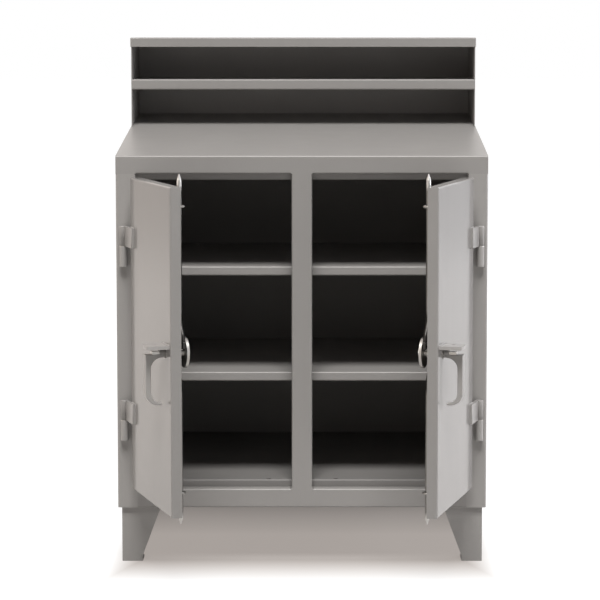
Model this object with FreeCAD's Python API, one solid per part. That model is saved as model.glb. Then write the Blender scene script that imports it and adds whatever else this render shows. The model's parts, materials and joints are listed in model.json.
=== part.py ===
import FreeCAD, Part
import math
import os

# Shop desk cabinet of folded and welded sheet steel, in millimetres.
# +X is to the right of someone facing the doors, +Y to the back, +Z up.
# The origin is on the floor, in the middle of the four anchor holes of the legs.
# The doors are modelled shut and then swung open to the angle at which they rest.
V = FreeCAD.Vector

# Cabinet body
WIDTH = 914.4
DEPTH = 711.2
BODY_HEIGHT = 874.6
DESK_SLOPE = 6.4
LEG_HEIGHT = 137.4
BODY_SHEET = 2.7
BEND = 1.5
HEADER_HEIGHT = 44.2
HEADER_HEM = 15.0
RAIL_HEIGHT = 47.2
RAIL_RETURN = 30.0
STILE_WIDTH = 48.8
MULLION_WIDTH = 50.8
MULLION_FLANGE = 8.0
STOP_OVERLAP = 9.0
FLOOR_LIP = 18.4
BASE_BAR_WIDTH = 40.0
BASE_BAR_THICKNESS = 3.0

# Shelves inside the cabinet
SHELF_SHEET = 2.0
SHELF_PITCH = 265.0
SHELF_LIP = 22.6
SHELF_RETURN = 12.0
SHELF_SETBACK = 64.0
SHELF_BACK_GAP = 6.0
SHELF_SIDE_GAP = 1.5
CLEAT_LEG = 25.0
CLEAT_THICKNESS = 3.0
CLEAT_END_GAP = 30.0

# Riser on the desk
RISER_RISE = 208.2
RISER_DEPTH = 247.6
RISER_SHEET = 2.0
RISER_LIP = 24.2
RISER_EDGE = 3.0
RISER_SHELF_DROP = 110.2
RISER_SHELF_LIP = 27.0

# Legs
LEG_SIDE_INSET = 9.0
LEG_FRONT_INSET = 10.0
LEG_TOP_WIDTH = 95.0
LEG_FOOT_WIDTH = 50.8
LEG_FOOT_UPRIGHT = 14.0
LEG_PLATE = 4.8
LEG_TOP_PLATE = 5.0
FOOT_PLATE = 6.0
ANCHOR_INSET = 32.0
ANCHOR_HOLE_RADIUS = 7.0
LEG_BOLT_RADIUS = 5.0
LEG_BOLT_CLEARANCE = 0.5
LEG_BOLT_HEAD = 6.4
LEG_BOLT_ACROSS_FLATS = 17.0
LEG_BOLT_SIDE_INSET = 30.0
LEG_BOLT_INSETS = (32.0, 74.0)

# Doors
DOOR_SHEET = 2.7
DOOR_THICKNESS = 25.4
DOOR_SIDE_GAP = 6.0
DOOR_TOP_GAP = 6.6
DOOR_BOTTOM_GAP = 8.4
DOOR_PROUD = 1.5
DOOR_STOP_GAP = 2.1
DOOR_RETURN = 12.0
LEFT_OPEN_ANGLE = 71.1
RIGHT_OPEN_ANGLE = 73.7
STIFFENER_SHEET = 2.0
STIFFENER_WIDTH = 46.0
STIFFENER_FLANGE = 15.0

# Hinges
HINGE_SPACING = 431.8
HINGE_DROP = 1.6
HINGE_HEIGHT = 100.0
HINGE_SIDE_INSET = 18.7
HINGE_RADIUS = 9.5
HINGE_FACE_GAP = 1.0
HINGE_PIN_RADIUS = 4.5
HINGE_PIN_SEAT = 0.02
HINGE_PIN_RUNNING = 0.08
HINGE_PIN_TOP_GAP = 0.5
HINGE_CAP = 5.0
HINGE_WASHER = 1.6
HINGE_WASHER_GAP = 0.2
HINGE_FOOT_WIDTH = 13.0
LEAF_THICKNESS = 7.5
LEAF_STEP = 7.5
LEAF_LAP = 38.0

# Handle, hasp and spindle
HANDLE_SETBACK = 52.0
HANDLE_DROP = 3.2
HUB_RADIUS = 10.0
HUB_START = 3.0
HUB_END = 15.0
ARM_ROOT = 10.0
ARM_DROP = 1.5
ARM_DEPTH = 7.5
GRIP_OUT = 48.5
GRIP_THICKNESS = 12.3
GRIP_DROP = 90.0
GRIP_WIDTH = 22.0
GRIP_ROUND = 1.6
CURL_RADIUS = 30.0
CURL_TIP = 4.5
SPINDLE_RADIUS = 7.0
SPINDLE_RUNNING = 0.08
SPINDLE_SEAT = 0.02
BUSH_WALL = 2.5
BUSH_FLANGE_RADIUS = 12.0
BUSH_FLANGE = 2.5
BUSH_TAIL = 2.0
BUSH_HOLE_CLEARANCE = 0.05
HASP_UNDERSIDE = 13.8
HASP_THICKNESS = 8.0
HASP_REACH = 54.0
HASP_EDGE_GAP = 8.0
HASP_LENGTH = 58.0
HASP_NEAR_CORNER = 6.0
HASP_FAR_CORNER = 22.0
PADLOCK_HOLE_RADIUS = 5.2
LUG_GAP = 0.5
LUG_LENGTH = 17.0
LUG_WIDTH = 18.0
LUG_THICKNESS = 6.5

# Latch rods and cam
ROD_RADIUS = 5.5
ROD_DEPTH = 36.5
ROD_TOP_REACH = 27.3
ROD_BOTTOM_REACH = 25.0
ROD_POINT = 14.0
ROD_POINT_RADIUS = 1.0
ROD_HOLE_RADIUS = 6.3
ROD_TRAVEL = 40.0
ROD_JOG_START = 72.0
ROD_JOG_END = 40.0
ROD_JOG_RADIUS = 14.0
EYE_THICKNESS = 6.0
EYE_WALL = 4.0
EYE_CORNER = 3.0
EYE_BAR_LAP = 1.0
CAM_PIN_RADIUS = 4.0
CAM_PIN_PLAY = 0.9
CAM_PIN_SHOULDER_RADIUS = 6.5
CAM_PIN_SHOULDER_GAP = 0.5
CAM_PIN_HEAD = 2.5
CAM_PIN_HEAD_GAP = 1.5
CAM_FRONT = 44.0
CAM_THICKNESS = 6.0
CAM_RIM = 1.2
CAM_HUB_RADIUS = 9.5
CAM_HUB_GAP = 0.3
CAM_NUT = 7.0
CAM_NUT_ACROSS_FLATS = 22.0
GUIDE_BAR_RADIUS = 3.2
GUIDE_CLEARANCE = 0.5
GUIDE_INSET = 49.0

# Places worked out from the sizes above
HALF = WIDTH / 2
FRONT = -DEPTH / 2
BACK = DEPTH / 2
OPENING_HALF = HALF - STILE_WIDTH
DESK_FRONT_HEIGHT = LEG_HEIGHT + BODY_HEIGHT
HEADER_BOTTOM = DESK_FRONT_HEIGHT - HEADER_HEIGHT
RAIL_TOP = LEG_HEIGHT + RAIL_HEIGHT
FLOOR_TOP = RAIL_TOP + FLOOR_LIP
DOOR_TOP = HEADER_BOTTOM - DOOR_TOP_GAP
DOOR_BOTTOM = RAIL_TOP + DOOR_BOTTOM_GAP
STOP_BOTTOM = DOOR_TOP - STOP_OVERLAP
DOOR_FACE = FRONT - DOOR_PROUD
DOOR_BACK = DOOR_FACE + DOOR_THICKNESS
STOP_FACE = DOOR_BACK + DOOR_STOP_GAP
DOOR_HINGE_EDGE = OPENING_HALF - DOOR_SIDE_GAP
DOOR_FREE_EDGE = MULLION_WIDTH / 2 + DOOR_SIDE_GAP
SLOPE_RISE = math.tan(math.radians(DESK_SLOPE))
DESK_SHEET_DROP = BODY_SHEET / math.cos(math.radians(DESK_SLOPE))
RISER_FRONT = BACK - RISER_DEPTH
RISER_HEIGHT = DESK_FRONT_HEIGHT + DEPTH * SLOPE_RISE + RISER_RISE
RISER_SHELF_TOP = RISER_HEIGHT - RISER_SHELF_DROP
HINGE_X = HALF - HINGE_SIDE_INSET
HINGE_Y = FRONT - HINGE_FACE_GAP - HINGE_RADIUS
OPENING_MIDDLE = (HEADER_BOTTOM + RAIL_TOP) / 2
HINGE_MIDDLE = OPENING_MIDDLE - HINGE_DROP
HANDLE_HEIGHT = OPENING_MIDDLE - HANDLE_DROP
HINGE_LEVELS = (HINGE_MIDDLE - HINGE_SPACING / 2, HINGE_MIDDLE + HINGE_SPACING / 2)
HANDLE_X = DOOR_FREE_EDGE + HANDLE_SETBACK
CAM_PIN_OFFSET = ROD_TRAVEL / 2
CAM_PIN_CIRCLE = CAM_PIN_OFFSET * math.sqrt(2)
ROD_JOG = (CAM_PIN_OFFSET + CAM_PIN_CIRCLE) / 2
CAM_BACK = CAM_FRONT + CAM_THICKNESS
CAM_DISC_RADIUS = CAM_PIN_CIRCLE + CAM_PIN_SHOULDER_RADIUS + CAM_RIM
LUG_START = HUB_END + LUG_GAP
PADLOCK_REACH = LUG_START + LUG_LENGTH / 2
ROD_TOP = DOOR_TOP + ROD_TOP_REACH
ROD_BOTTOM = DOOR_BOTTOM - ROD_BOTTOM_REACH


def desk_height(y):
    """Height of the desk's upper face."""
    return DESK_FRONT_HEIGHT + (y - FRONT) * SLOPE_RISE


def on_xy(z):
    """Places a drawing on a level plane."""
    return lambda x, y: V(x, y, z)


def on_yz(x):
    """Places a drawing on a plane that faces sideways."""
    return lambda y, z: V(x, y, z)


def on_xz(y):
    """Places a drawing on a plane that faces front to back."""
    return lambda x, z: V(x, y, z)


def block(x0, x1, y0, y1, z0, z1):
    """A box between two corners."""
    return Part.makeBox(x1 - x0, y1 - y0, z1 - z0, V(x0, y0, z0))


def prism(points, place, along):
    """A straight-sided outline pushed out along a vector."""
    corners = [place(*p) for p in points]
    return Part.Face(Part.makePolygon(corners + corners[:1])).extrude(along)


def rod_along_y(radius, x, z, y0, y1):
    """A round bar from front to back."""
    return Part.makeCylinder(radius, y1 - y0, V(x, y0, z), V(0, 1, 0))


def rod_upright(radius, x, y, z0, z1):
    """An upright round bar."""
    return Part.makeCylinder(radius, z1 - z0, V(x, y, z0))


def hexagon_along(across_flats, base, along):
    """A hexagonal bar that starts at base."""
    corner = across_flats / math.sqrt(3)
    hexagon = Part.makePolygon(
        [V(corner * math.cos(math.radians(60 * i)), corner * math.sin(math.radians(60 * i)), 0) for i in range(7)]
    )
    hexagon.Placement = FreeCAD.Placement(base, FreeCAD.Rotation(V(0, 0, 1), along))
    return Part.Face(hexagon).extrude(along)


def joined(shapes):
    """One solid from pieces that meet."""
    return shapes[0].fuse(shapes[1:]).removeSplitter()


def group(shapes):
    """Separate solids that share a node."""
    return Part.makeCompound(shapes)


def direction(a, b):
    """Unit vector from a to b on a drawing."""
    length = math.hypot(b[0] - a[0], b[1] - a[1])
    return (b[0] - a[0]) / length, (b[1] - a[1]) / length


def offset_left(path, distance):
    """The path moved to its left, with mitred corners."""
    normals = [(-d[1], d[0]) for d in (direction(a, b) for a, b in zip(path, path[1:]))]
    ahead = normals + normals[-1:]
    behind = normals[:1] + normals
    moved = []
    for point, n0, n1 in zip(path, behind, ahead):
        share = distance / (1 + n0[0] * n1[0] + n0[1] * n1[1])
        moved.append((point[0] + (n0[0] + n1[0]) * share, point[1] + (n0[1] + n1[1]) * share))
    return moved


def rounded_run(points, radii, place):
    """Edges along the points, with each inner corner rounded by its own radius."""
    edges = []
    start = points[0]
    for before, corner, after, radius in zip(points, points[1:], points[2:], radii):
        arriving = direction(before, corner)
        leaving = direction(corner, after)
        cross = arriving[0] * leaving[1] - arriving[1] * leaving[0]
        angle = math.atan2(abs(cross), arriving[0] * leaving[0] + arriving[1] * leaving[1])
        trim = radius * math.tan(angle / 2)
        first = (corner[0] - arriving[0] * trim, corner[1] - arriving[1] * trim)
        last = (corner[0] + leaving[0] * trim, corner[1] + leaving[1] * trim)
        inward = direction(corner, ((first[0] + last[0]) / 2, (first[1] + last[1]) / 2))
        rise = radius / math.cos(angle / 2) - radius
        middle = (corner[0] + inward[0] * rise, corner[1] + inward[1] * rise)
        edges.append(Part.LineSegment(place(*start), place(*first)).toShape())
        edges.append(Part.Arc(place(*first), place(*middle), place(*last)).toShape())
        start = last
    edges.append(Part.LineSegment(place(*start), place(*points[-1])).toShape())
    return edges


def sheet(path, thickness, place, along):
    """A folded sheet: the path is its outer face, on the right, and the metal lies to the left of it."""
    inner = offset_left(path, thickness)
    outer_radii = []
    inner_radii = []
    for before, corner, after in zip(path, path[1:], path[2:]):
        arriving = direction(before, corner)
        leaving = direction(corner, after)
        left_turn = arriving[0] * leaving[1] > arriving[1] * leaving[0]
        outer_radii.append(BEND + thickness if left_turn else BEND)
        inner_radii.append(BEND if left_turn else BEND + thickness)
    edges = rounded_run(path, outer_radii, place) + rounded_run(inner, inner_radii, place)
    edges.append(Part.LineSegment(place(*path[0]), place(*inner[0])).toShape())
    edges.append(Part.LineSegment(place(*path[-1]), place(*inner[-1])).toShape())
    return Part.Face(Part.Wire(Part.__sortEdges__(edges))).extrude(along)


def mirrored(shape):
    """The same piece on the other side of the cabinet."""
    return shape.mirror(V(0, 0, 0), V(1, 0, 0))


# Cabinet body


def make_desk_top():
    """Sloped desk sheet, folded down at the front into the header, which has a hem between the stiles."""
    plain = [(BACK, desk_height(BACK)), (FRONT, DESK_FRONT_HEIGHT), (FRONT, HEADER_BOTTOM)]
    hemmed = plain + [(FRONT + HEADER_HEM, HEADER_BOTTOM)]
    strips = [sheet(hemmed, BODY_SHEET, on_yz(-OPENING_HALF), V(2 * OPENING_HALF, 0, 0))]
    for x in (-HALF, OPENING_HALF):
        strips.append(sheet(plain, BODY_SHEET, on_yz(x), V(STILE_WIDTH, 0, 0)))
    return joined(strips)


def head_stop_corner(x0, x1):
    """Clearance for the fold of the head stop, at the upper end of what stands in front of it."""
    outline = [
        (STOP_FACE - BEND, HEADER_BOTTOM),
        (STOP_FACE, HEADER_BOTTOM - BEND),
        (STOP_FACE + BODY_SHEET, HEADER_BOTTOM - BEND),
        (STOP_FACE + BODY_SHEET, HEADER_BOTTOM + BODY_SHEET),
        (STOP_FACE - BEND, HEADER_BOTTOM + BODY_SHEET),
    ]
    return prism(outline, on_yz(x0), V(x1 - x0, 0, 0))


def make_left_side():
    """Side wall, folded round into the front stile, and into the jamb beside the door above the rail."""
    plain = [(-HALF, BACK), (-HALF, FRONT), (-OPENING_HALF, FRONT)]
    jamb = plain + [(-OPENING_HALF, STOP_FACE)]
    wall_top = desk_height(BACK)
    beside_rail = sheet(plain, BODY_SHEET, on_xy(LEG_HEIGHT), V(0, 0, RAIL_HEIGHT))
    beside_door = sheet(jamb, BODY_SHEET, on_xy(RAIL_TOP), V(0, 0, wall_top - RAIL_TOP))
    wall = joined([beside_rail, beside_door])
    above_desk = [
        (FRONT, DESK_FRONT_HEIGHT - DESK_SHEET_DROP),
        (BACK, desk_height(BACK) - DESK_SHEET_DROP),
        (BACK, wall_top + DEPTH),
        (FRONT, wall_top + DEPTH),
    ]
    wall = wall.cut(prism(above_desk, on_yz(-HALF), V(STILE_WIDTH, 0, 0)))
    inner = -HALF + BODY_SHEET
    behind_header = block(inner, -OPENING_HALF, FRONT, STOP_FACE, HEADER_BOTTOM, wall_top)
    header_face = block(-HALF, inner, FRONT, FRONT + BODY_SHEET, HEADER_BOTTOM, wall_top)
    fold_start = FRONT + BODY_SHEET
    fold_end = fold_start + BEND
    desk_fold = [
        (fold_start, desk_height(fold_start) - DESK_SHEET_DROP - BEND),
        (fold_end, desk_height(fold_end) - DESK_SHEET_DROP),
        (fold_end, wall_top),
        (fold_start, wall_top),
    ]
    under_fold = prism(desk_fold, on_yz(-HALF), V(BODY_SHEET, 0, 0))
    return wall.cut([behind_header, header_face, under_fold, head_stop_corner(inner, -OPENING_HALF + BODY_SHEET)])


def make_back_panel():
    """Back wall between the sides."""
    inner = HALF - BODY_SHEET
    top = desk_height(BACK - BODY_SHEET) - DESK_SHEET_DROP
    return block(-inner, inner, BACK - BODY_SHEET, BACK, LEG_HEIGHT, top)


def make_head_stop():
    """Angle behind the header that the doors shut against, with the upper rods behind it."""
    path = [(FRONT + HEADER_HEM, HEADER_BOTTOM), (STOP_FACE, HEADER_BOTTOM), (STOP_FACE, STOP_BOTTOM)]
    inner = HALF - BODY_SHEET
    return sheet(path, BODY_SHEET, on_yz(-inner), V(2 * inner, 0, 0))


def make_bottom_rail():
    """Front rail under the doors: its ledge, its face and the flange underneath."""
    path = [
        (STOP_FACE + BODY_SHEET, RAIL_TOP),
        (FRONT, RAIL_TOP),
        (FRONT, LEG_HEIGHT),
        (FRONT + RAIL_RETURN, LEG_HEIGHT),
    ]
    return sheet(path, BODY_SHEET, on_yz(-OPENING_HALF), V(2 * OPENING_HALF, 0, 0))


def make_floor_pan():
    """Cabinet floor, folded down at the front as a door stop, with a hole behind it for each lower rod."""
    inner = HALF - BODY_SHEET
    path = [(BACK - BODY_SHEET, FLOOR_TOP), (STOP_FACE, FLOOR_TOP), (STOP_FACE, RAIL_TOP)]
    floor = sheet(path, BODY_SHEET, on_yz(-inner), V(2 * inner, 0, 0))
    rod_y = DOOR_FACE + ROD_DEPTH
    holes = [rod_upright(ROD_HOLE_RADIUS, x, rod_y, RAIL_TOP, FLOOR_TOP) for x in (-HANDLE_X, HANDLE_X)]
    return floor.cut(holes)


def make_mullion():
    """Hat-section post between the doors, with its flanges cut back at the head stop and the floor's lip."""
    half = MULLION_WIDTH / 2
    path = [
        (-half - MULLION_FLANGE, STOP_FACE),
        (-half, STOP_FACE),
        (-half, FRONT),
        (half, FRONT),
        (half, STOP_FACE),
        (half + MULLION_FLANGE, STOP_FACE),
    ]
    post = sheet(path, BODY_SHEET, on_xy(RAIL_TOP), V(0, 0, HEADER_BOTTOM - RAIL_TOP))
    reach = half + MULLION_FLANGE
    flange_back = STOP_FACE + BODY_SHEET
    foot = block(-reach, reach, STOP_FACE, flange_back, RAIL_TOP, FLOOR_TOP)
    head = block(-reach, reach, STOP_FACE, flange_back, STOP_BOTTOM, HEADER_BOTTOM)
    return post.cut([foot, head, head_stop_corner(-reach, reach)])


def make_left_base_angle():
    """Angle along the foot of the side wall that the legs are bolted to."""
    outer = -HALF + BODY_SHEET
    y0 = FRONT + BODY_SHEET + BEND
    y1 = BACK - BODY_SHEET
    level = block(outer, outer + BASE_BAR_WIDTH, y0, y1, LEG_HEIGHT, LEG_HEIGHT + BASE_BAR_THICKNESS)
    upright = block(outer, outer + BASE_BAR_THICKNESS, y0, y1, LEG_HEIGHT, LEG_HEIGHT + BASE_BAR_WIDTH)
    holes = []
    for x, y in left_bolt_places():
        holes.append(rod_upright(LEG_BOLT_RADIUS + LEG_BOLT_CLEARANCE, x, y, LEG_HEIGHT, LEG_HEIGHT + BASE_BAR_WIDTH))
    return joined([level, upright]).cut(holes)


def make_shelf(top):
    """Shelf pan with a turned-down back edge and a hemmed front lip."""
    front = FRONT + SHELF_SETBACK
    back = BACK - BODY_SHEET - SHELF_BACK_GAP
    low = top - SHELF_LIP
    path = [(back, low), (back, top), (front, top), (front, low), (front + SHELF_RETURN, low)]
    half = HALF - BODY_SHEET - SHELF_SIDE_GAP
    return sheet(path, SHELF_SHEET, on_yz(-half), V(2 * half, 0, 0))


def make_left_cleat(shelf_top):
    """Angle on the side wall that carries one end of a shelf."""
    outer = -HALF + BODY_SHEET
    top = shelf_top - SHELF_SHEET
    y0 = FRONT + SHELF_SETBACK + CLEAT_END_GAP
    y1 = BACK - BODY_SHEET - SHELF_BACK_GAP - CLEAT_END_GAP
    level = block(outer, outer + CLEAT_LEG, y0, y1, top - CLEAT_THICKNESS, top)
    upright = block(outer, outer + CLEAT_THICKNESS, y0, y1, top - CLEAT_LEG, top)
    return joined([level, upright])


# Legs


def left_bolt_places():
    """Places of the leg bolts on the left side, front leg first."""
    x = -HALF + LEG_BOLT_SIDE_INSET
    front = [(x, FRONT + LEG_FRONT_INSET + inset) for inset in LEG_BOLT_INSETS]
    return front + [(x, -y) for x, y in front]


def make_front_left_leg():
    """Tapered corner leg: two plates that meet at the outer corner, a top plate and a foot plate."""
    x0 = -HALF + LEG_SIDE_INSET
    y0 = FRONT + LEG_FRONT_INSET
    plate_top = LEG_HEIGHT - LEG_TOP_PLATE
    taper = [
        (0, FOOT_PLATE),
        (LEG_FOOT_WIDTH, FOOT_PLATE),
        (LEG_FOOT_WIDTH, LEG_FOOT_UPRIGHT),
        (LEG_TOP_WIDTH, plate_top),
        (0, plate_top),
    ]
    front_plate = prism([(x0 + w, z) for w, z in taper], on_xz(y0), V(0, LEG_PLATE, 0))
    side_plate = prism([(y0 + w, z) for w, z in taper], on_yz(x0), V(LEG_PLATE, 0, 0))
    top_plate = block(x0, x0 + LEG_TOP_WIDTH, y0, y0 + LEG_TOP_WIDTH, plate_top, LEG_HEIGHT)
    foot = block(x0, x0 + LEG_FOOT_WIDTH, y0, y0 + LEG_FOOT_WIDTH, 0, FOOT_PLATE)
    anchor = rod_upright(ANCHOR_HOLE_RADIUS, x0 + ANCHOR_INSET, y0 + ANCHOR_INSET, 0, FOOT_PLATE)
    holes = [anchor]
    for x, y in left_bolt_places()[: len(LEG_BOLT_INSETS)]:
        holes.append(rod_upright(LEG_BOLT_RADIUS + LEG_BOLT_CLEARANCE, x, y, plate_top, LEG_HEIGHT))
    return joined([front_plate, side_plate, top_plate, foot]).cut(holes)


def make_leg_bolt(x, y):
    """Hexagon bolt up through a leg's top plate and the base angle, with its nut."""
    head_top = LEG_HEIGHT - LEG_TOP_PLATE
    nut_foot = LEG_HEIGHT + BASE_BAR_THICKNESS
    head = hexagon_along(LEG_BOLT_ACROSS_FLATS, V(x, y, head_top - LEG_BOLT_HEAD), V(0, 0, LEG_BOLT_HEAD))
    nut = hexagon_along(LEG_BOLT_ACROSS_FLATS, V(x, y, nut_foot), V(0, 0, LEG_BOLT_HEAD))
    shank = rod_upright(LEG_BOLT_RADIUS, x, y, head_top, nut_foot + 1.5 * LEG_BOLT_HEAD)
    return joined([shank, head, nut])


# Riser


def make_riser_top():
    """Shallow lid with a lip all round, rounded along its upper edge and front corners."""
    lid = block(-HALF, HALF, RISER_FRONT, BACK, RISER_HEIGHT - RISER_LIP, RISER_HEIGHT)
    rounded = []
    for edge in lid.Edges:
        box = edge.BoundBox
        upper = box.ZMin > RISER_HEIGHT - RISER_LIP / 2
        upright = box.ZLength > RISER_LIP / 2
        if upper or upright:
            rounded.append(edge)
    lid = lid.makeFillet(RISER_EDGE, rounded)
    t = RISER_SHEET
    return lid.cut(block(-HALF + t, HALF - t, RISER_FRONT + t, BACK - t, RISER_HEIGHT - RISER_LIP, RISER_HEIGHT - t))


def make_left_riser_side():
    """Riser end wall, inside the lid's lip, cut to the slope of the desk."""
    y0 = RISER_FRONT + RISER_SHEET
    y1 = BACK - RISER_SHEET
    top = RISER_HEIGHT - RISER_SHEET
    outline = [(y0, desk_height(y0)), (y1, desk_height(y1)), (y1, top), (y0, top)]
    return prism(outline, on_yz(-HALF + RISER_SHEET), V(RISER_SHEET, 0, 0))


def make_riser_back():
    """Riser back wall between the end walls."""
    y1 = BACK - RISER_SHEET
    y0 = y1 - RISER_SHEET
    top = RISER_HEIGHT - RISER_SHEET
    outline = [(y0, desk_height(y0)), (y1, desk_height(y1)), (y1, top), (y0, top)]
    half = HALF - 2 * RISER_SHEET
    return prism(outline, on_yz(-half), V(2 * half, 0, 0))


def make_riser_shelf():
    """Middle shelf of the riser with a hemmed front lip."""
    front = RISER_FRONT + RISER_SHEET
    back = BACK - 2 * RISER_SHEET
    low = RISER_SHELF_TOP - RISER_SHELF_LIP
    path = [(back, RISER_SHELF_TOP), (front, RISER_SHELF_TOP), (front, low), (front + SHELF_RETURN, low)]
    half = HALF - 2 * RISER_SHEET
    return sheet(path, RISER_SHEET, on_yz(-half), V(2 * half, 0, 0))


# Hinges, for the left door, shut


def make_frame_knuckle(level):
    """Lower knuckle with a foot that is welded to the stile."""
    low = level - HINGE_HEIGHT / 2
    high = level - HINGE_WASHER / 2
    barrel = rod_upright(HINGE_RADIUS, -HINGE_X, HINGE_Y, low, high)
    half = HINGE_FOOT_WIDTH / 2
    foot = block(-HINGE_X - half, -HINGE_X + half, HINGE_Y, FRONT, low, high)
    bore = rod_upright(HINGE_PIN_RADIUS + HINGE_PIN_SEAT, -HINGE_X, HINGE_Y, low, high)
    return joined([barrel, foot]).cut(bore)


def make_hinge_washer(level):
    """Thrust washer between the two knuckles."""
    low = level - HINGE_WASHER / 2
    ring = rod_upright(HINGE_RADIUS, -HINGE_X, HINGE_Y, low, low + HINGE_WASHER)
    return ring.cut(rod_upright(HINGE_PIN_RADIUS + HINGE_PIN_SEAT, -HINGE_X, HINGE_Y, low, low + HINGE_WASHER))


def make_hinge_pin(level):
    """Pin held by the frame knuckle, which the door's knuckle turns on."""
    low = level - HINGE_HEIGHT / 2
    high = level + HINGE_HEIGHT / 2 - HINGE_CAP - HINGE_PIN_TOP_GAP
    return rod_upright(HINGE_PIN_RADIUS, -HINGE_X, HINGE_Y, low, high)


def make_door_leaf(level):
    """Upper knuckle with its thick stepped leaf, which is welded to the face of the door."""
    low = level + HINGE_WASHER / 2 + HINGE_WASHER_GAP
    high = level + HINGE_HEIGHT / 2
    barrel = rod_upright(HINGE_RADIUS, -HINGE_X, HINGE_Y, low, high)
    near = DOOR_FACE
    far = DOOR_FACE - LEAF_THICKNESS
    edge = -DOOR_HINGE_EDGE
    tip = edge + LEAF_LAP
    outline = [
        (-HINGE_X, far),
        (edge - LEAF_THICKNESS - LEAF_STEP, far),
        (edge - LEAF_THICKNESS, near),
        (tip, near),
        (tip, far),
        (edge - LEAF_THICKNESS + LEAF_STEP / 2, far),
        (edge - LEAF_THICKNESS - LEAF_STEP / 2, far - LEAF_STEP),
        (-HINGE_X, far - LEAF_STEP),
    ]
    leaf = prism(outline, on_xy(low), V(0, 0, high - low))
    bore = rod_upright(HINGE_PIN_RADIUS + HINGE_PIN_RUNNING, -HINGE_X, HINGE_Y, low, high - HINGE_CAP)
    return joined([barrel, leaf]).cut(bore)


# Left door, shut


def make_door_panel():
    """Pan-formed door: a face with four flanges, and returns along the two upright edges."""
    x0 = -DOOR_HINGE_EDGE
    x1 = -DOOR_FREE_EDGE
    t = DOOR_SHEET
    pan = block(x0, x1, DOOR_FACE, DOOR_BACK, DOOR_BOTTOM, DOOR_TOP)
    folds = [e for e in pan.Edges if e.BoundBox.YMax < DOOR_FACE + t]
    pan = pan.makeFillet(BEND + t, folds)
    hollow = block(x0 + t, x1 - t, DOOR_FACE + t, DOOR_BACK - t, DOOR_BOTTOM + t, DOOR_TOP - t)
    mouth = block(
        x0 + DOOR_RETURN, x1 - DOOR_RETURN, DOOR_BACK - t, DOOR_BACK, DOOR_BOTTOM + t, DOOR_TOP - t
    )
    bush_hole = rod_along_y(bush_hole_radius(), -HANDLE_X, HANDLE_HEIGHT, DOOR_FACE, DOOR_FACE + t)
    return pan.cut([hollow, mouth, bush_hole])


def make_stiffener():
    """Hat section welded inside the door, behind the handle, which carries the bush and the rod guides."""
    t = STIFFENER_SHEET
    half = STIFFENER_WIDTH / 2
    base = DOOR_FACE + DOOR_SHEET
    path = [
        (-HANDLE_X + half + STIFFENER_FLANGE, base + t),
        (-HANDLE_X + half, base + t),
        (-HANDLE_X + half, DOOR_BACK),
        (-HANDLE_X - half, DOOR_BACK),
        (-HANDLE_X - half, base + t),
        (-HANDLE_X - half - STIFFENER_FLANGE, base + t),
    ]
    low = DOOR_BOTTOM + DOOR_SHEET
    hat = sheet(path, t, on_xy(low), V(0, 0, DOOR_TOP - DOOR_SHEET - low))
    return hat.cut(rod_along_y(bush_hole_radius(), -HANDLE_X, HANDLE_HEIGHT, base, DOOR_BACK))


def bush_radius():
    """Outside radius of the handle bush."""
    return SPINDLE_RADIUS + SPINDLE_RUNNING + BUSH_WALL


def bush_hole_radius():
    """Radius of the holes that the bush goes through."""
    return bush_radius() + BUSH_HOLE_CLEARANCE


def make_bush():
    """Flanged bush through the door's face and the stiffener."""
    tail = DOOR_BACK + BUSH_TAIL
    body = rod_along_y(bush_radius(), -HANDLE_X, HANDLE_HEIGHT, DOOR_FACE - BUSH_FLANGE, tail)
    flange = rod_along_y(BUSH_FLANGE_RADIUS, -HANDLE_X, HANDLE_HEIGHT, DOOR_FACE - BUSH_FLANGE, DOOR_FACE)
    bore_radius = SPINDLE_RADIUS + SPINDLE_RUNNING
    bore = rod_along_y(bore_radius, -HANDLE_X, HANDLE_HEIGHT, DOOR_FACE - BUSH_FLANGE, tail)
    return joined([body, flange]).cut(bore)


def make_hasp():
    """Padlock plate welded edge-on to the door's face, just above the handle."""
    x1 = -DOOR_FREE_EDGE - HASP_EDGE_GAP
    low = HANDLE_HEIGHT + HASP_UNDERSIDE
    plate = block(x1 - HASP_LENGTH, x1, DOOR_FACE - HASP_REACH, DOOR_FACE, low, low + HASP_THICKNESS)
    middle = x1 - HASP_LENGTH / 2
    for corner, side in ((HASP_NEAR_CORNER, 1), (HASP_FAR_CORNER, -1)):
        outer = []
        for edge in plate.Edges:
            box = edge.BoundBox
            upright = box.ZLength > HASP_THICKNESS / 2
            if upright and side * (box.Center.x - middle) > 0 and box.YMax < DOOR_FACE - HASP_REACH / 2:
                outer.append(edge)
        plate = plate.makeFillet(corner, outer)
    hole = rod_upright(PADLOCK_HOLE_RADIUS, -HANDLE_X, DOOR_FACE - PADLOCK_REACH, low, low + HASP_THICKNESS)
    return plate.cut(hole)


def make_rod_guide(level):
    """Round-bar staple on the stiffener that a rod slides through."""
    rod_y = DOOR_FACE + ROD_DEPTH
    loop = ROD_RADIUS + GUIDE_CLEARANCE + GUIDE_BAR_RADIUS
    start = V(-HANDLE_X + loop, rod_y, level)
    section = Part.Face(Part.Wire(Part.makeCircle(GUIDE_BAR_RADIUS, start, V(0, 1, 0))))
    bend = section.revolve(V(-HANDLE_X, rod_y, level), V(0, 0, 1), 180)
    legs = [rod_along_y(GUIDE_BAR_RADIUS, -HANDLE_X + side * loop, level, DOOR_BACK, rod_y) for side in (-1, 1)]
    return joined([bend] + legs)


# Left handle and latch, shut and latched


def handle_point(out, up):
    """Point on the handle's side view, measured out from the door's face and up from the spindle."""
    return V(-HANDLE_X - GRIP_WIDTH / 2, DOOR_FACE - out, HANDLE_HEIGHT + up)


def arc_about(centre, radius, degrees):
    """Point of a round stretch of the handle's side view."""
    angle = math.radians(degrees)
    return handle_point(centre[0] + radius * math.cos(angle), centre[1] + radius * math.sin(angle))


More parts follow.
